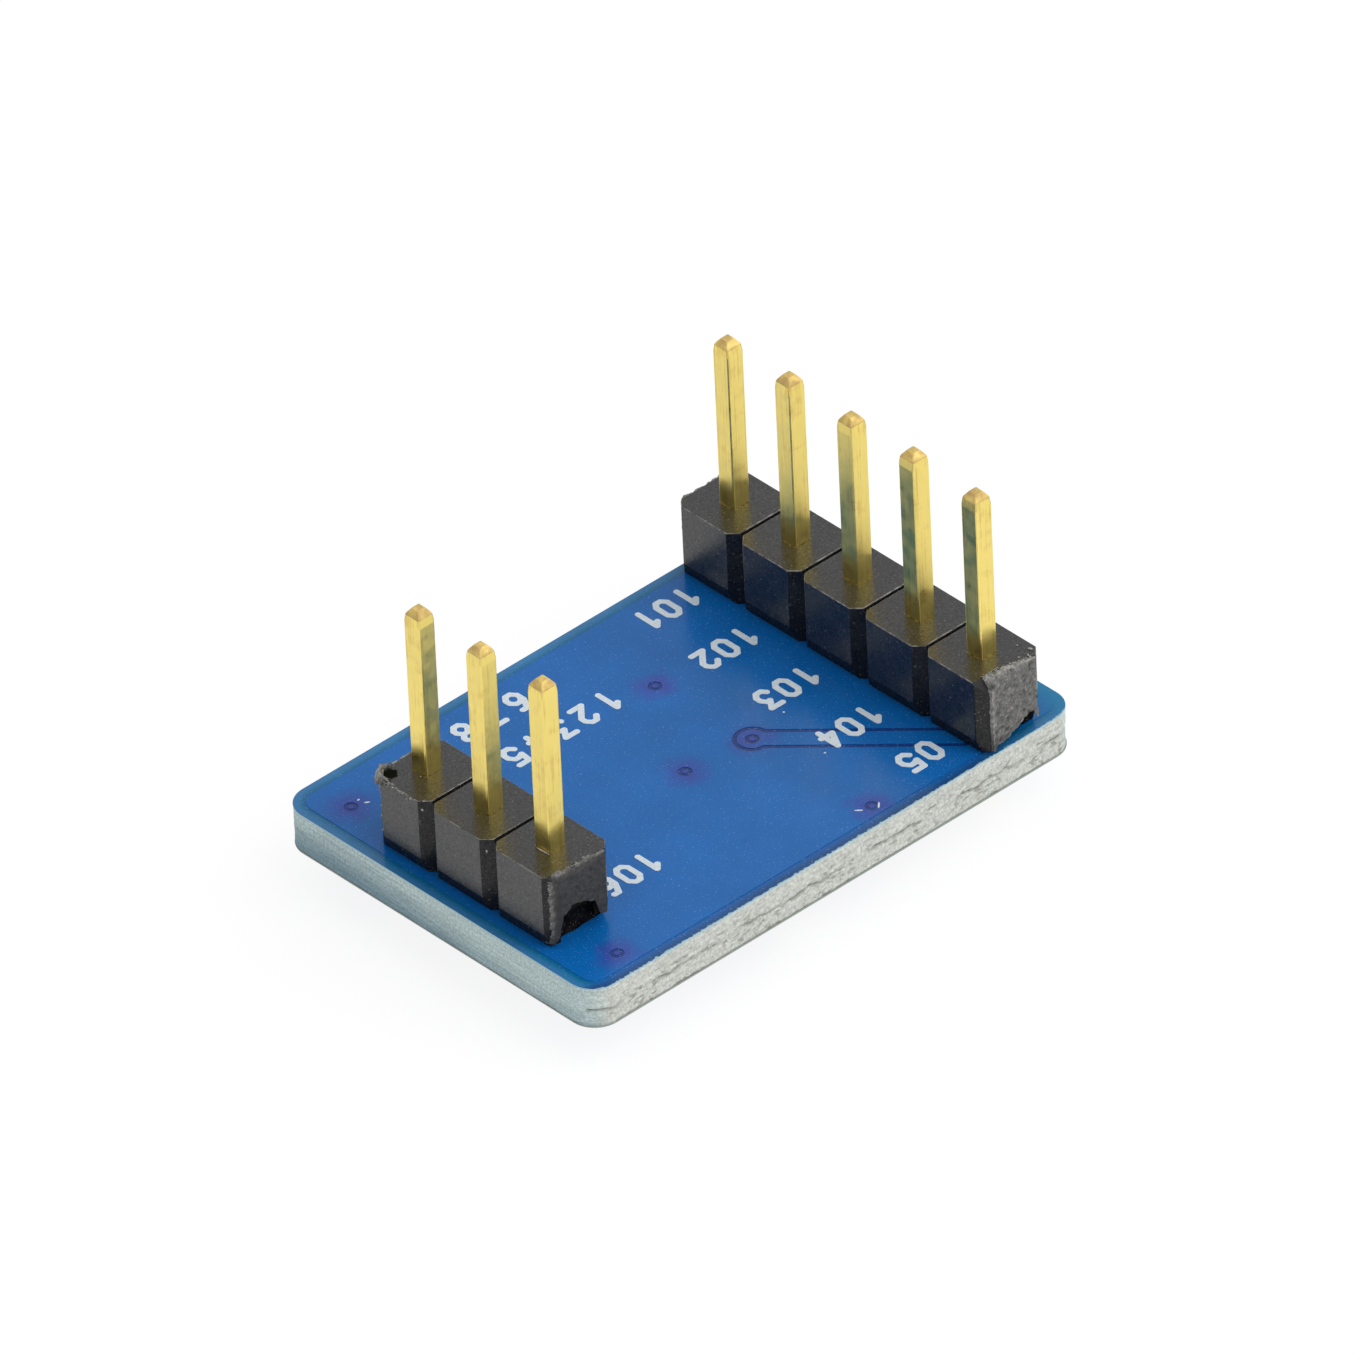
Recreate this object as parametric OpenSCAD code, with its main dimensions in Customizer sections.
// Small serial interface converter: a double-sided board with a five-way and a three-way
// straight pin header on one face and surface-mounted parts on the other.
// X runs along the board from the three-way row to the five-way row, Y runs along the rows.
// The origin is under the middle of the board, level with the face of the transceiver.

/* [Board] */
// Length of the board, along X
board_length = 18.75; // [18.6:0.05:22]
// Width of the board, along Y
board_width = 12.9; // [12.8:0.05:16]
// Radius of the routed corners
corner_radius = 0.85; // [0.3:0.05:1.2]
// Thickness of the glass-epoxy core
core_thickness = 1.29; // [1.0:0.01:1.6]
// Thickness of the copper foil on each face
foil_thickness = 0.035; // [0.02:0.005:0.07]
// Cover of solder mask over the foil
mask_cover = 0.02; // [0.01:0.005:0.04]
// Step in the mask's surface along the edges of the foil
mask_relief = 0.015; // [0.005:0.001:0.018]
// Mask that coats the side walls of the foil
mask_shoulder = 0.03; // [0.02:0.005:0.04]
// Strip along the edges that is kept free of foil
foil_inset = 0.4; // [0.2:0.05:0.6]

/* [Headers] */
// Distance from one post to the next
pitch = 2.54; // [2.5:0.01:2.6]
// Distance of the five-way row from the board's end
row_5_edge = 2.39; // [1.8:0.01:2.6]
// Shift of the five-way row's middle across the board
row_5_shift = -0.06; // [-0.1:0.01:0.1]
// Distance of the three-way row from the board's other end
row_3_edge = 1.77; // [1.5:0.01:2.2]
// Shift of the three-way row's middle across the board
row_3_shift = -0.43; // [-0.8:0.01:0.8]
// Width of the moulding across the row
body_width = 2.44; // [2.3:0.01:2.54]
// Height of the moulding above the board
body_height = 2.5; // [2.3:0.01:2.8]
// Bevel of each cell's upright corners, which forms the notches
notch = 0.34; // [0.2:0.01:0.5]
// Depth of the break groove across the top between two cells
groove_depth = 0.2; // [0.1:0.01:0.25]
// Width of the break groove across the top
groove_width = 0.13; // [0.08:0.01:0.2]
// Width of the channel along the underside
channel_width = 1.3; // [1.1:0.05:1.5]
// Height of the channel along the underside
channel_height = 0.45; // [0.3:0.05:0.7]
// Inward slope of the two rails beside the channel
rail_slope = 0.16; // [0.05:0.01:0.25]
// Height of the tear over the three-way channel, where the moulding was snapped off
web_tear = 1.2; // [0.8:0.05:1.4]
// Shift of that tear across the row
web_tear_shift = -0.2; // [-0.22:0.01:0.22]
// Height of the torn rail at that end
rail_tear_3 = 0.4; // [0.2:0.05:0.6]
// Height of the torn rail at the snapped end of the five-way moulding
rail_tear_5 = 0.75; // [0.5:0.05:1.1]
// Loss of length at the other snapped end of the three-way moulding
snap_loss_3 = 0.3; // [0:0.05:0.4]
// Depth of the break damage at the snapped ends
tear_depth = 0.4; // [0.2:0.05:0.5]
// Thickness of the web that closes the channel behind the tear
tear_web = 0.3; // [0.2:0.05:0.4]

/* [Posts] */
// Width of the square posts
post_width = 0.62; // [0.56:0.01:0.66]
// Flat along each upright edge of a post
post_bevel = 0.035; // [0.02:0.005:0.06]
// Length of a post above the moulding
post_reach = 5.76; // [4:0.02:8]
// Length of a post below the moulding
post_tail = 2.4; // [2.3:0.05:3.4]
// Length of the pointed ends
tip_length = 0.5; // [0.3:0.05:0.8]
// Width of the flat that ends each point
tip_width = 0.26; // [0.16:0.02:0.36]

/* [Holes and solder] */
// Diameter of the holes drilled for the posts
post_drill = 1; // [0.98:0.01:1.1]
// Wall of the copper plated into every hole
plating = 0.03; // [0.02:0.005:0.04]
// Diameter of the copper land around a post
land_diameter = 1.7; // [1.5:0.05:1.9]
// Height of a solder fillet on a post
fillet_height = 0.55; // [0.4:0.05:0.8]
// Diameter of the small holes drilled between the faces
via_drill = 0.3; // [0.26:0.02:0.4]
// Diameter of the copper land around a small hole
via_land = 0.6; // [0.56:0.02:0.8]
// Width of the ring where the mask sinks at the rim of a small hole
via_dimple = 0.12; // [0.08:0.01:0.16]
// Clear gap cut round the copper of other circuits
isolation = 0.2; // [0.16:0.01:0.24]
// Width of the enable track on the pin face
enable_track = 0.54; // [0.3:0.02:0.6]
// Diameter of the enable circuit's land on the pin face
enable_land = 0.8; // [0.76:0.02:1]
// Width of a signal track on the part face
signal_track = 0.26; // [0.2:0.02:0.3]
// Width of the supply track on the part face
supply_track = 0.4; // [0.3:0.02:0.44]
// Margin of bare board between a land and the mask
mask_gap = 0.05; // [0.03:0.01:0.08]
// Film of solder under every lead and end cap
solder_film = 0.03; // [0.025:0.005:0.06]

/* [Transceiver] */
// Position of the transceiver along X
chip_x = -2; // [-2.1:0.05:-1.9]
// Position of the transceiver along Y
chip_y = -0.3; // [-0.4:0.05:-0.2]
// Width of the package between its two rows of leads
chip_width = 3.9; // [3.8:0.05:4]
// Length of the package along its rows
chip_length = 4.9; // [4.8:0.05:5]
// Height of the package without its standoff
chip_height = 1.3; // [1.2:0.05:1.45]
// Gap between the package and its feet's plane
chip_standoff = 0.1; // [0.05:0.01:0.2]
// Distance between neighbouring leads
lead_pitch = 1.27; // [1.25:0.01:1.29]
// Overall span across the feet
lead_span = 6; // [5.9:0.05:6.1]
// Width of a lead
lead_width = 0.42; // [0.36:0.01:0.48]
// Thickness of the lead metal
lead_metal = 0.2; // [0.16:0.01:0.24]
// Length of a foot
foot_length = 0.6; // [0.5:0.05:0.7]

/* [Small parts] */
// Length of a small chip part
chip_part_length = 1.6; // [1.5:0.02:1.7]
// Width of a small chip part
chip_part_width = 0.8; // [0.7:0.02:0.86]
// Height of a chip resistor
resistor_height = 0.45; // [0.35:0.01:0.55]
// Height of a small chip capacitor
capacitor_height = 0.8; // [0.6:0.02:0.9]
// Length of the larger chip capacitor
reservoir_length = 2; // [1.9:0.02:2.1]
// Width of the larger chip capacitor
reservoir_width = 1.25; // [1.15:0.02:1.3]
// Length of a metal end cap
cap_length = 0.3; // [0.2:0.02:0.4]
// Thickness of the end caps' metal
cap_metal = 0.025; // [0.02:0.005:0.04]
// Length of the surge protector's package
guard_length = 2.9; // [2.8:0.02:3]
// Width of the surge protector's package
guard_width = 1.3; // [1.2:0.02:1.4]
// Height of the surge protector's package
guard_height = 0.95; // [0.9:0.01:1.1]
// Overall span across the surge protector's feet
guard_span = 2.4; // [2.3:0.02:2.5]
// Distance between the surge protector's paired leads
guard_pitch = 1.9; // [1.8:0.02:2]

/* [Hidden] */

$fn = 48;
eps = 0.01;

// Each post was pressed in a little above or below its nominal place
SEATS_5 = [0.01, 0.03, -0.06, 0, -0.12];
SEATS_3 = [-0.11, -0.08, 0.07];

mask_thickness = foil_thickness + mask_cover;
seat_gap = foil_thickness + solder_film;
tail_depth = post_tail - min(concat(SEATS_5, SEATS_3));
chip_depth = mask_thickness + core_thickness + seat_gap + chip_standoff + chip_height;
board_top = max(tail_depth, chip_depth);
core_top = board_top - mask_thickness;
core_bottom = core_top - core_thickness;
board_bottom = core_bottom - mask_thickness;

row_5_x = board_length / 2 - row_5_edge;
row_3_x = row_3_edge - board_length / 2;
POSTS_5 = [for (i = [0 : 4]) [row_5_x, row_5_shift + (2 - i) * pitch]];
POSTS_3 = [for (i = [0 : 2]) [row_3_x, row_3_shift + (1 - i) * pitch]];
POSTS = concat(POSTS_5, POSTS_3);

// Small plated holes: the enable circuit's own one, then those that stitch the two pours
ENABLE_VIA = [1.88, -0.99];
STITCH_VIAS = [
    [-board_length / 2 + 1.23, board_width / 2 - 1.62],
    [1.67, 2.79],
    [-0.48, -0.74],
    [2.08, -board_width / 2 + 0.76],
    [-board_length / 2 + 1.83, -board_width / 2 + 0.96]
];
VIAS = concat([ENABLE_VIA], STITCH_VIAS);

// Feet and lands of the transceiver, counted down each side
foot_x = lead_span / 2 - foot_length / 2;
foot_land = [foot_length + 0.8, lead_width + 0.18];
function lead_y(i) = (1.5 - i) * lead_pitch;
function chip_foot(side, i) = [chip_x + side * foot_x, chip_y + lead_y(i)];

// Surge protector: two feet towards the three-way header and one away from it
GUARD = [-3.6, 4.4];
guard_foot_length = 0.4;
guard_foot_x = guard_span / 2 - guard_foot_length / 2;
guard_land = [0.8, 0.7];
GUARD_FEET = [
    [GUARD.x - guard_foot_x, GUARD.y + guard_pitch / 2],
    [GUARD.x - guard_foot_x, GUARD.y - guard_pitch / 2],
    [GUARD.x + guard_foot_x, GUARD.y]
];

// Chip parts as [place, turn]: a turn of 90 stands the part along Y
chip_land = [0.9, chip_part_width + 0.1];
reservoir_land = [1, reservoir_width + 0.1];
land_x = chip_part_length / 2;
reservoir_land_x = reservoir_length / 2 - 0.05;
TERMINATION = [[(row_3_x + chip_foot(-1, 1).x) / 2, (chip_foot(-1, 1).y + chip_foot(-1, 2).y) / 2], 90];
BIAS_HIGH = [[-4.9, -3.9], 0];
BIAS_LOW = [[TERMINATION[0].x, 3.6], 90];
column_x = row_5_x - 2.8;
ENABLE = [[column_x, -0.45], 0];
TRANSMIT = [[column_x, 3.2], 0];
RECEIVE = [[column_x, chip_foot(1, 3).y], 0];
LAMP_DROP = [[column_x + 0.8, -4.6], 90];
BYPASS = [[-0.6, 3.2], 0];
RESERVOIR = [[-0.6, -4.4], 90];
LAMP = [[column_x - 0.9, -4.6], 90];
RESISTORS = [TERMINATION, BIAS_HIGH, BIAS_LOW, ENABLE, TRANSMIT, RECEIVE, LAMP_DROP];
CHIP_PARTS = concat(RESISTORS, [BYPASS, LAMP]);

// Place of a part's land, on its own plus or minus end
function land_of(part, side, reach = land_x) =
    part[0] + side * reach * [cos(part[1]), sin(part[1])];

// Supply bus: along the transceiver's end, then under it
supply_y = -3.25;
supply_x = -3;

// Tracks on the part face as lists of corner points
SIGNALS = [
    [POSTS_3[0], [POSTS_3[0].x + POSTS_3[0].y - chip_foot(-1, 1).y, chip_foot(-1, 1).y], chip_foot(-1, 1)],
    [POSTS_3[1], [POSTS_3[1].x + POSTS_3[1].y - chip_foot(-1, 2).y, chip_foot(-1, 2).y], chip_foot(-1, 2)],
    [POSTS_3[0], land_of(BIAS_LOW, -1), GUARD_FEET[1]],
    [POSTS_3[1], [-board_length / 2 + 0.55, 0.9], [-board_length / 2 + 0.55, GUARD_FEET[0].y],
        [-board_length / 2 + 1, 5.8], [GUARD_FEET[0].x - 0.45, 5.8], GUARD_FEET[0]],
    [land_of(TERMINATION, -1), [TERMINATION[0].x, land_of(BIAS_HIGH, -1).y + 0.4], land_of(BIAS_HIGH, -1)],
    [chip_foot(1, 0), [1.8, chip_foot(1, 0).y], land_of(TRANSMIT, -1)],
    [land_of(TRANSMIT, 1), [POSTS_5[1].x - 0.7, TRANSMIT[0].y], POSTS_5[1]],
    [chip_foot(1, 3), land_of(RECEIVE, -1)],
    [land_of(RECEIVE, 1), POSTS_5[2]],
    [ENABLE_VIA, chip_foot(1, 2), chip_foot(1, 1)],
    [ENABLE_VIA, [ENABLE_VIA.x + 0.54, ENABLE[0].y], land_of(ENABLE, -1)],
    [land_of(LAMP, -1), land_of(LAMP_DROP, -1)]
];
SUPPLIES = [
    [POSTS_5[3], [POSTS_5[3].x - 0.65, supply_y], [supply_x, supply_y],
        [supply_x, chip_foot(-1, 0).y], chip_foot(-1, 0)],
    [[supply_x, chip_foot(-1, 0).y], [supply_x, 2], [land_of(BYPASS, -1).x - 0.3, BYPASS[0].y],
        land_of(BYPASS, -1)],
    [[supply_x, supply_y], [supply_x - 0.45, supply_y], land_of(BIAS_HIGH, 1)],
    [[LAMP_DROP[0].x, supply_y], land_of(LAMP_DROP, 1)],
    [[RESERVOIR[0].x, supply_y], land_of(RESERVOIR, 1, reservoir_land_x)]
];
ISOLATED_POSTS = [POSTS_5[1], POSTS_5[2], POSTS_5[3], POSTS_5[4], POSTS_3[0], POSTS_3[1]];

// Board

module board_plan(inset = 0) {
    r = max(corner_radius - inset, 0.2);
    x = board_length / 2 - inset;
    y = board_width / 2 - inset;
    square([2 * x, 2 * (y - r)], center = true);
    square([2 * (x - r), 2 * y], center = true);
    for (sx = [-1, 1], sy = [-1, 1])
        translate([sx * (x - r), sy * (y - r)]) circle(r);
}

module at_each(places) {
    for (place = places)
        translate(place) children();
}

module slab(z, thickness) {
    translate([0, 0, z]) linear_extrude(thickness) children();
}

module drills() {
    at_each(POSTS) circle(d = post_drill);
    at_each(VIAS) circle(d = via_drill);
}

module board_core() {
    color([0.80, 0.82, 0.72]) slab(core_bottom, core_thickness) difference() {
        board_plan();
        drills();
    }
}

// One straight stretch of track, lengthened so that corners of 45 degrees close
module stretch(a, b, width) {
    run = b - a;
    length = norm(run) + 0.42 * width;
    translate((a + b) / 2) rotate(atan2(run.y, run.x)) square([length, width], center = true);
}

module track(points, width) {
    for (i = [1 : len(points) - 1])
        stretch(points[i - 1], points[i], width);
}

// The enable circuit runs across the pin face, down a diagonal to the last post
module enable_circuit(grow = 0) {
    drop = ENABLE_VIA.y - POSTS_5[4].y;
    at_each([ENABLE_VIA]) circle(d = enable_land + 2 * grow);
    track([ENABLE_VIA, [ENABLE_VIA.x + drop, POSTS_5[4].y], POSTS_5[4]], enable_track + 2 * grow);
}

// Pour, lands and track of the pin face, without holes and grown by the mask on their walls
module pin_side_pattern(grow = 0) {
    difference() {
        board_plan(foil_inset - grow);
        at_each(ISOLATED_POSTS) circle(d = land_diameter + 2 * (isolation - grow));
        enable_circuit(isolation - grow);
    }
    at_each(ISOLATED_POSTS) circle(d = land_diameter + 2 * grow);
    enable_circuit(grow);
}

module pin_side_foil() {
    color([0.72, 0.45, 0.28]) slab(core_top, foil_thickness) difference() {
        pin_side_pattern();
        drills();
    }
}

// The mask sinks in a ring at the rim of each small hole that it closes
module via_dimples() {
    at_each(VIAS) difference() {
        circle(d = via_drill + via_dimple);
        circle(d = via_drill - via_dimple);
    }
}

// Mask on either face: a coat with the foil's thickness taken out of its inner side.
// Its outer surface drops by mask_relief outside the foil and in the dimples.
// The first child is the foil's pattern, the second the same grown, the third the openings.
module mask_coat() {
    difference() {
        union() {
            slab(0, mask_thickness - mask_relief) board_plan();
            slab(mask_thickness - mask_relief - eps, mask_relief + eps) difference() {
                children(1);
                via_dimples();
            }
        }
        slab(-eps, foil_thickness + eps) children(0);
        slab(-eps, mask_thickness + 2 * eps) children(2);
    }
}

module pin_side_mask() {
    color([0.10, 0.35, 0.66]) translate([0, 0, core_top]) mask_coat() {
        pin_side_pattern();
        pin_side_pattern(mask_shoulder);
        at_each(POSTS) circle(d = land_diameter + 2 * mask_gap);
    }
}

module at_part(part) {
    translate(part[0]) rotate(part[1]) children();
}

module pair_of_lands(part, size, reach, grow) {
    at_part(part) for (side = [-1, 1])
        translate([side * reach, 0]) square(size + 2 * grow * [1, 1], center = true);
}

// Every land that a surface-mounted part is soldered to
module part_lands(grow = 0) {
    for (side = [-1, 1], i = [0 : 3])
        translate(chip_foot(side, i)) square(foot_land + 2 * grow * [1, 1], center = true);
    at_each(GUARD_FEET) square(guard_land + 2 * grow * [1, 1], center = true);
    for (part = CHIP_PARTS)
        pair_of_lands(part, chip_land, land_x, grow);
    pair_of_lands(RESERVOIR, reservoir_land, reservoir_land_x, grow);
}

module part_side_tracks(grow = 0) {
    for (points = SIGNALS)
        track(points, signal_track + 2 * grow);
    for (points = SUPPLIES)
        track(points, supply_track + 2 * grow);
    at_each([ENABLE_VIA]) circle(d = via_land + 2 * grow);
    at_each(ISOLATED_POSTS) circle(d = land_diameter + 2 * grow);
}

module part_side_pattern(grow = 0) {
    difference() {
        board_plan(foil_inset - grow);
        part_side_tracks(isolation - grow);
        part_lands(isolation - grow);
    }
    part_side_tracks(grow);
    part_lands(grow);
}

module part_side_foil() {
    color([0.72, 0.45, 0.28]) slab(core_bottom - foil_thickness, foil_thickness) difference() {
        part_side_pattern();
        drills();
    }
}

module part_side_mask() {
    color([0.10, 0.35, 0.66]) translate([0, 0, core_bottom]) mirror([0, 0, 1]) mask_coat() {
        part_side_pattern();
        part_side_pattern(mask_shoulder);
        union() {
            at_each(POSTS) circle(d = land_diameter + 2 * mask_gap);
            part_lands(mask_gap);
        }
    }
}

module barrels(places, drill) {
    slab(core_bottom - foil_thickness, core_thickness + 2 * foil_thickness) at_each(places) difference() {
        circle(d = drill);
        circle(d = drill - 2 * plating);
    }
}

module hole_barrels() {
    color([0.80, 0.55, 0.35]) barrels(POSTS, post_drill);
}

module via_barrels() {
    color([0.80, 0.55, 0.35]) barrels(VIAS, via_drill);
}

// Headers

// Plan of one cell: a square with bevelled corners
module cell_plan(loss) {
    x = body_width / 2;
    y = pitch / 2;
    far = y - loss;
    polygon([
        [x, far - notch], [x - notch, far], [notch - x, far], [-x, far - notch],
        [-x, notch - y], [notch - x, -y], [x - notch, -y], [x, notch - y]
    ]);
}

// Section of a post: a square whose four edges are slightly flattened
module post_plan() {
    a = post_width / 2;
    b = a - post_bevel;
    polygon([[a, b], [b, a], [-b, a], [-a, b], [-a, -b], [-b, -a], [b, -a], [a, -b]]);
}

// Lays a profile drawn in X and Z along the whole row, in the direction of Y
module along_row(length) {
    translate([0, length / 2, 0]) rotate([90, 0, 0]) linear_extrude(length) children();
}

// Lays a profile drawn in Y and Z across the row, in the direction of X
module across_row(width) {
    translate([-width / 2, 0, 0]) rotate([90, 0, 90]) linear_extrude(width) children();
}

// The moulding of a header that was snapped off a longer strip, seated at z = 0.
// At its -Y end the break tore up to these heights into the web over the channel, which
// stays open if that is 0, and into one rail. At its +Y end the break took some length.
module header_moulding(count, web_height, rail_height, loss) {
    length = count * pitch;
    x = body_width / 2;
    end = length / 2;
    closed = web_height > 0 ? tear_depth + tear_web : -eps;
    rise = channel_height / rail_slope;
    difference() {
        linear_extrude(body_height) for (i = [0 : count - 1])
            translate([0, (i - (count - 1) / 2) * pitch]) cell_plan(i == count - 1 ? loss : 0);
        // Channel between the rails, closed by a web behind a tear
        translate([0, (closed + eps) / 2, 0]) along_row(length - closed + eps)
            translate([-channel_width / 2, -eps]) square([channel_width, channel_height + eps]);
        // Slope under each long side
        for (side = [-1, 1])
            along_row(length + 2 * eps) polygon([
                [side * (x - rail_slope - eps), -eps * rise],
                [side * (x + eps), -eps * rise],
                [side * (x + eps), channel_height + eps * rise]
            ]);
        if (web_height > 0)
            translate([web_tear_shift, 0, 0]) across_row(channel_width) polygon([
                [-end - eps, -eps], [-end - eps, web_height],
                [tear_depth - end, channel_height], [tear_depth - end, -eps]
            ]);
        translate([0, tear_depth / 2 - end - eps, 0]) along_row(tear_depth + 2 * eps) polygon([
            [-channel_width / 2, -eps], [-channel_width / 2, channel_height - eps],
            [x + eps, rail_height], [x + eps, -eps]
        ]);
        // Break grooves
        for (i = [1 : count - 1])
            translate([0, (i - count / 2) * pitch, body_height]) across_row(body_width + 2 * eps)
                polygon([[-groove_width, groove_depth], [groove_width, groove_depth], [0, -groove_depth]]);
        // Post holes
        for (i = [0 : count - 1])
            translate([0, (i - (count - 1) / 2) * pitch, -eps]) linear_extrude(body_height + 2 * eps)
                post_plan();
    }
}

module header_5_body() {
    color([0.13, 0.13, 0.14]) translate([row_5_x, row_5_shift, board_top])
        header_moulding(5, 0, rail_tear_5, 0);
}

module header_3_body() {
    color([0.13, 0.13, 0.14]) translate([row_3_x, row_3_shift, board_top])
        header_moulding(3, web_tear, rail_tear_3, snap_loss_3);
}

// Outline of a post seen from one side: a bar that narrows in two steps at both ends
module post_outline() {
    a = post_width / 2;
    m = (a + tip_width / 2) / 2 + post_width * 0.09;
    t = tip_width / 2;
    top = body_height + post_reach;
    polygon([
        [a, tip_length - post_tail], [a, top - tip_length], [m, top - 0.4 * tip_length], [t, top],
        [-t, top], [-m, top - 0.4 * tip_length], [-a, top - tip_length], [-a, tip_length - post_tail],
        [-m, 0.4 * tip_length - post_tail], [-t, -post_tail], [t, -post_tail],
        [m, 0.4 * tip_length - post_tail]
    ]);
}

// One post, with z = 0 at the face that the moulding stands on
module post(place, seat) {
    color([0.86, 0.72, 0.35]) translate([place.x, place.y, board_top + seat]) intersection() {
        along_row(post_width) post_outline();
        across_row(post_width) post_outline();
        translate([0, 0, -post_tail]) linear_extrude(post_tail + body_height + post_reach) post_plan();
    }
}

module header_5_post(i) {
    post(POSTS_5[i - 1], SEATS_5[i - 1]);
}

module header_3_post(i) {
    post(POSTS_3[i - 1], SEATS_3[i - 1]);
}

// Solder that fills a plated hole and rises up the tail in a hollow cone
module post_joint(place, seat) {
    collar = post_width * 0.66;
    land = land_diameter / 2;
    face = core_bottom - foil_thickness;
    difference() {
        translate([place.x, place.y, 0]) rotate_extrude() polygon([
            [0, core_top + foil_thickness],
            [post_drill / 2 - plating, core_top + foil_thickness],
            [post_drill / 2 - plating, face], [land, face], [land, face - 0.03],
            [land * 0.82, face - 0.1], [land * 0.66, face - fillet_height * 0.3],
            [collar + 0.06, face - fillet_height * 0.62], [collar, face - fillet_height],
            [0, face - fillet_height]
        ]);
        post(place, seat);
    }
}

module header_5_solder() {
    color([0.75, 0.76, 0.78]) for (i = [0 : 4])
        post_joint(POSTS_5[i], SEATS_5[i]);
}

module header_3_solder() {
    color([0.75, 0.76, 0.78]) for (i = [0 : 2])
        post_joint(POSTS_3[i], SEATS_3[i]);
}

// Surface-mounted parts, drawn standing on z = 0 and then hung under the board

module under_board(place, turn = 0, gap = seat_gap) {
    translate([place.x, place.y, core_bottom - gap]) rotate(turn) mirror([0, 0, 1]) children();
}

// Side view of a moulded package, widest at its parting line
module package_outline(width, height, standoff, draft) {
    middle = standoff + height / 2;
    a = width / 2;
    b = a - draft;
    polygon([[b, standoff], [a, middle], [b, standoff + height], [-b, standoff + height], [-a, middle],
        [-b, standoff]]);
}

module package(width, length, height, standoff, draft) {
    intersection() {
        along_row(length) package_outline(width, height, standoff, draft);
        across_row(width) package_outline(length, height, standoff, draft);
    }
}

// Gull-wing lead: a stub in the package, a shoulder, a sloping leg and a foot
module lead(body_half, span_half, foot, metal, width, shoulder_z) {
    stub = 0.35;
    shoulder = body_half + 0.16;
    heel = span_half - foot;
    half = metal / 2;
    along_row(width) polygon([
        [body_half - stub, shoulder_z - half], [shoulder, shoulder_z - half],
        [heel, 0], [span_half, 0], [span_half, metal], [heel + 0.12, metal],
        [shoulder + 0.12, shoulder_z + half], [body_half - stub, shoulder_z + half]
    ]);
}

module transceiver_lead_set() {
    for (side = [-1, 1], i = [0 : 3])
        translate([0, lead_y(i), 0]) mirror([side < 0 ? 1 : 0, 0, 0])
            lead(chip_width / 2, lead_span / 2, foot_length, lead_metal, lead_width,
                chip_standoff + chip_height / 2);
}

module transceiver_body() {
    dot = 0.5;
    color([0.12, 0.12, 0.13]) under_board([chip_x, chip_y]) difference() {
        package(chip_width, chip_length, chip_height, chip_standoff, 0.14);
        transceiver_lead_set();
        // Mark beside the first lead
        translate([chip_width / 2 - 0.7, lead_y(0) - 0.05, chip_standoff + chip_height - 0.05])
            cylinder(d = dot, h = 0.1);
    }
}

module transceiver_leads() {
    color([0.78, 0.79, 0.80]) under_board([chip_x, chip_y]) transceiver_lead_set();
}

guard_standoff = 0.05;
guard_lead_width = 0.4;
guard_metal = 0.13;

module surge_protector_lead_set() {
    for (foot = GUARD_FEET)
        translate([0, foot.y - GUARD.y, 0]) mirror([foot.x < GUARD.x ? 1 : 0, 0, 0])
            lead(guard_width / 2, guard_span / 2, guard_foot_length - 0.2, guard_metal,
                guard_lead_width, guard_standoff + guard_height / 2);
}

module surge_protector_body() {
    color([0.12, 0.12, 0.13]) under_board(GUARD) difference() {
        package(guard_width, guard_length, guard_height, guard_standoff, 0.08);
        surge_protector_lead_set();
    }
}

module surge_protector_leads() {
    color([0.78, 0.79, 0.80]) under_board(GUARD) surge_protector_lead_set();
}

// Ceramic block of a chip part, inside its two end caps
module chip_block(length, width, height) {
    translate([cap_metal - length / 2, cap_metal - width / 2, cap_metal])
        cube([length - 2 * cap_metal, width - 2 * cap_metal, height - 2 * cap_metal]);
}

module chip_caps(length, width, height) {
    difference() {
        for (side = [-1, 1])
            translate([side * (length - cap_length) / 2 - cap_length / 2, -width / 2, 0])
                cube([cap_length, width, height]);
        chip_block(length, width, height);
    }
}

module resistor_block(part) {
    color([0.93, 0.93, 0.90]) under_board(part[0], part[1])
        chip_block(chip_part_length, chip_part_width, resistor_height);
}

module termination_resistor() { resistor_block(TERMINATION); }
module bias_resistor_high() { resistor_block(BIAS_HIGH); }
module bias_resistor_low() { resistor_block(BIAS_LOW); }
module enable_resistor() { resistor_block(ENABLE); }
module transmit_resistor() { resistor_block(TRANSMIT); }
module receive_resistor() { resistor_block(RECEIVE); }
module lamp_resistor() { resistor_block(LAMP_DROP); }

// Dark coat over the resistive film, between the caps
module resistor_coats() {
    length = chip_part_length - 2 * cap_length;
    width = chip_part_width - 0.1;
    color([0.10, 0.10, 0.11]) for (part = RESISTORS)
        under_board(part[0], part[1])
            translate([-length / 2, -width / 2, resistor_height - cap_metal])
                cube([length, width, cap_metal]);
}

module resistor_end_caps() {
    color([0.80, 0.81, 0.82]) for (part = RESISTORS)
        under_board(part[0], part[1]) chip_caps(chip_part_length, chip_part_width, resistor_height);
}

module bypass_capacitor() {
    color([0.62, 0.50, 0.38]) under_board(BYPASS[0], BYPASS[1])
        chip_block(chip_part_length, chip_part_width, capacitor_height);
}

module reservoir_capacitor() {
    color([0.62, 0.50, 0.38]) under_board(RESERVOIR[0], RESERVOIR[1])
        chip_block(reservoir_length, reservoir_width, capacitor_height);
}

module capacitor_end_caps() {
    color([0.80, 0.81, 0.82]) {
        under_board(BYPASS[0], BYPASS[1]) chip_caps(chip_part_length, chip_part_width, capacitor_height);
        under_board(RESERVOIR[0], RESERVOIR[1]) chip_caps(reservoir_length, reservoir_width, capacitor_height);
    }
}

lamp_base_height = 0.25;
lamp_lens_height = 0.35;

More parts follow.
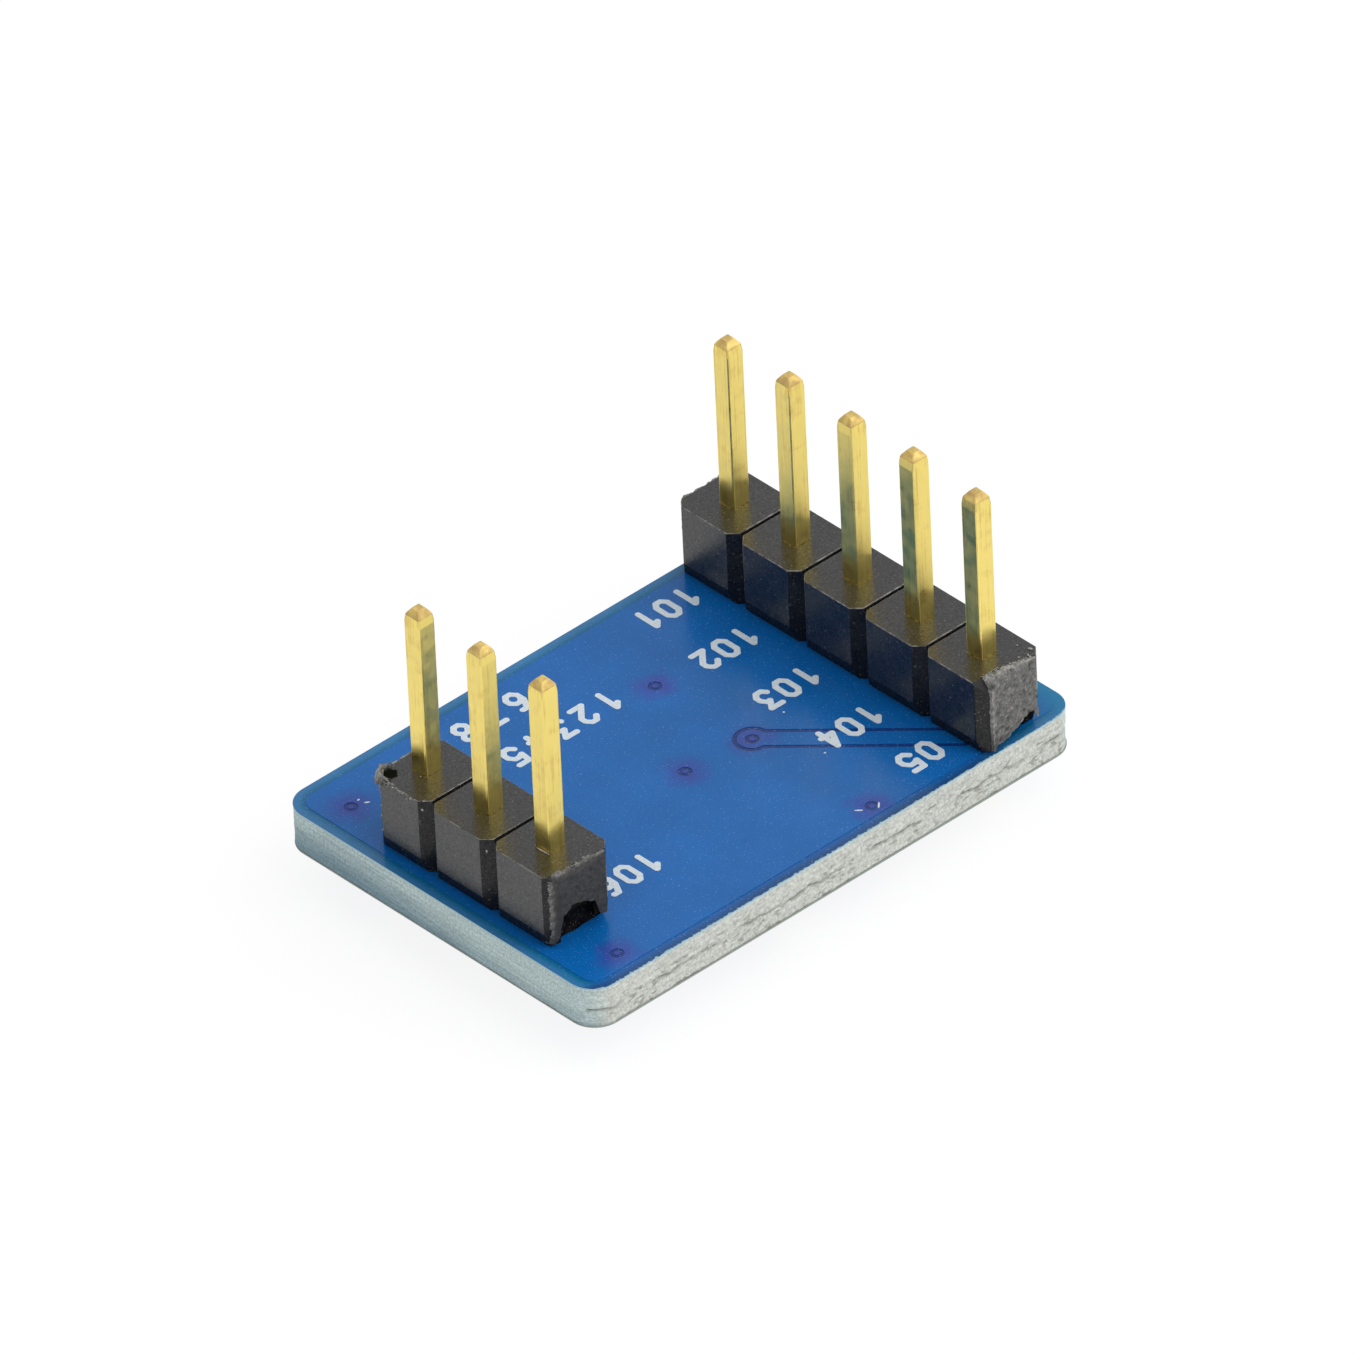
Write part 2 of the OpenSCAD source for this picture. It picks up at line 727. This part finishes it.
module power_lamp_base() {
    color([0.90, 0.90, 0.86]) under_board(LAMP[0], LAMP[1])
        chip_block(chip_part_length, chip_part_width, lamp_base_height);
}

module power_lamp_lens() {
    length = chip_part_length - 2 * cap_length;
    slope = 0.06;
    color([0.90, 0.90, 0.80]) under_board(LAMP[0], LAMP[1]) translate([0, 0, lamp_base_height - cap_metal])
        along_row(chip_part_width - 2 * cap_metal) polygon([
            [-length / 2, 0], [length / 2, 0],
            [length / 2 - slope, lamp_lens_height], [slope - length / 2, lamp_lens_height]
        ]);
}

module power_lamp_end_caps() {
    color([0.80, 0.70, 0.40]) under_board(LAMP[0], LAMP[1])
        chip_caps(chip_part_length, chip_part_width, lamp_base_height);
}

// Solder under and outside an end cap, drawn up from the land
module cap_fillet(length, width, height, land, reach) {
    outer = reach + land.x / 2;
    inner = length / 2 - cap_length;
    along_row(width) polygon([
        [inner, 0], [outer, 0], [outer, 0.02], [(outer + length / 2) / 2, height * 0.22],
        [length / 2, height * 0.6], [length / 2, solder_film], [inner, solder_film]
    ]);
}

module part_fillets(part, length, width, height, land, reach) {
    under_board(part[0], part[1], foil_thickness) for (side = [0, 1])
        mirror([side, 0, 0]) cap_fillet(length, width, height, land, reach);
}

module chip_part_solder() {
    color([0.75, 0.76, 0.78]) {
        for (part = RESISTORS)
            part_fillets(part, chip_part_length, chip_part_width, resistor_height, chip_land, land_x);
        part_fillets(BYPASS, chip_part_length, chip_part_width, capacitor_height, chip_land, land_x);
        part_fillets(LAMP, chip_part_length, chip_part_width, lamp_base_height, chip_land, land_x);
        part_fillets(RESERVOIR, reservoir_length, reservoir_width, capacitor_height, reservoir_land,
            reservoir_land_x);
    }
}

// Solder under a foot, with a slope at its toe
module foot_fillet(heel, toe, outer, metal, width) {
    along_row(width) polygon([
        [heel, 0], [outer, 0], [outer, 0.02], [toe, solder_film + metal * 0.6], [toe, solder_film],
        [heel, solder_film]
    ]);
}

module lead_solder() {
    toe = lead_span / 2;
    guard_toe = guard_span / 2;
    color([0.75, 0.76, 0.78]) {
        under_board([chip_x, chip_y], 0, foil_thickness) for (side = [0, 1], i = [0 : 3])
            translate([0, lead_y(i), 0]) mirror([side, 0, 0])
                foot_fillet(toe - foot_length, toe, foot_x + foot_land.x / 2, lead_metal, lead_width);
        under_board(GUARD, 0, foil_thickness) for (foot = GUARD_FEET)
            translate([0, foot.y - GUARD.y, 0]) mirror([foot.x < GUARD.x ? 1 : 0, 0, 0])
                foot_fillet(guard_toe - guard_foot_length + 0.2, guard_toe, guard_foot_x + guard_land.x / 2,
                    guard_metal, guard_lead_width);
    }
}

board_core();
pin_side_foil();
part_side_foil();
pin_side_mask();
part_side_mask();
hole_barrels();
via_barrels();
header_5_body();
header_5_post(1);  // header_5_post_1
header_5_post(2);  // header_5_post_2
header_5_post(3);  // header_5_post_3
header_5_post(4);  // header_5_post_4
header_5_post(5);  // header_5_post_5
header_5_solder();
header_3_body();
header_3_post(1);  // header_3_post_1
header_3_post(2);  // header_3_post_2
header_3_post(3);  // header_3_post_3
header_3_solder();
transceiver_body();
transceiver_leads();
surge_protector_body();
surge_protector_leads();
termination_resistor();
bias_resistor_high();
bias_resistor_low();
enable_resistor();
transmit_resistor();
receive_resistor();
lamp_resistor();
resistor_coats();
resistor_end_caps();
bypass_capacitor();
reservoir_capacitor();
capacitor_end_caps();
power_lamp_base();
power_lamp_lens();
power_lamp_end_caps();
chip_part_solder();
lead_solder();
